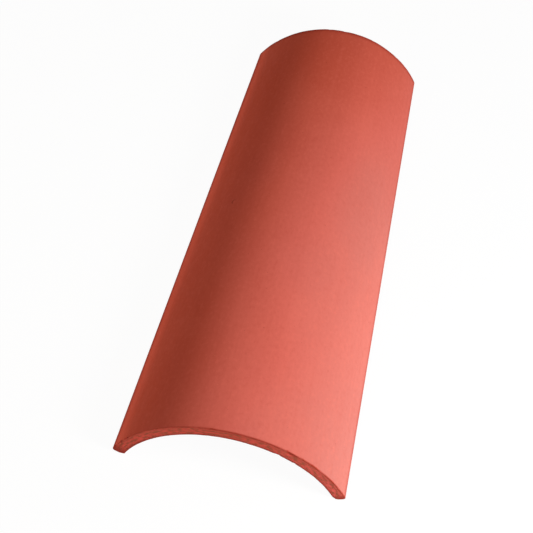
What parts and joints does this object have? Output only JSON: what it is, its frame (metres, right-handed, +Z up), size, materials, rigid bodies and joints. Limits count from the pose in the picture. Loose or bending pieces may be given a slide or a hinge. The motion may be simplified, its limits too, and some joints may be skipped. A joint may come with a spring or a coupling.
{
  "type": "curved clay roof tile",
  "caption": "Tapered half-barrel roof tile of fired clay, laid crown up as a cover or hollow up as a pan, each one lapping over the next.",
  "frame": {"origin": "under the middle of the tile, on the surface that its two long edges lie on", "axes": "+X across the tile, +Y along it from the wide end to the narrow end, +Z up through the crown"},
  "size_m": [0.2, 0.5, 0.0691],
  "materials": {
    "fired_clay": "matte"
  },
  "bodies": {
    "root": {"clay_tile": "fired_clay"}
  },
  "joints": []
}
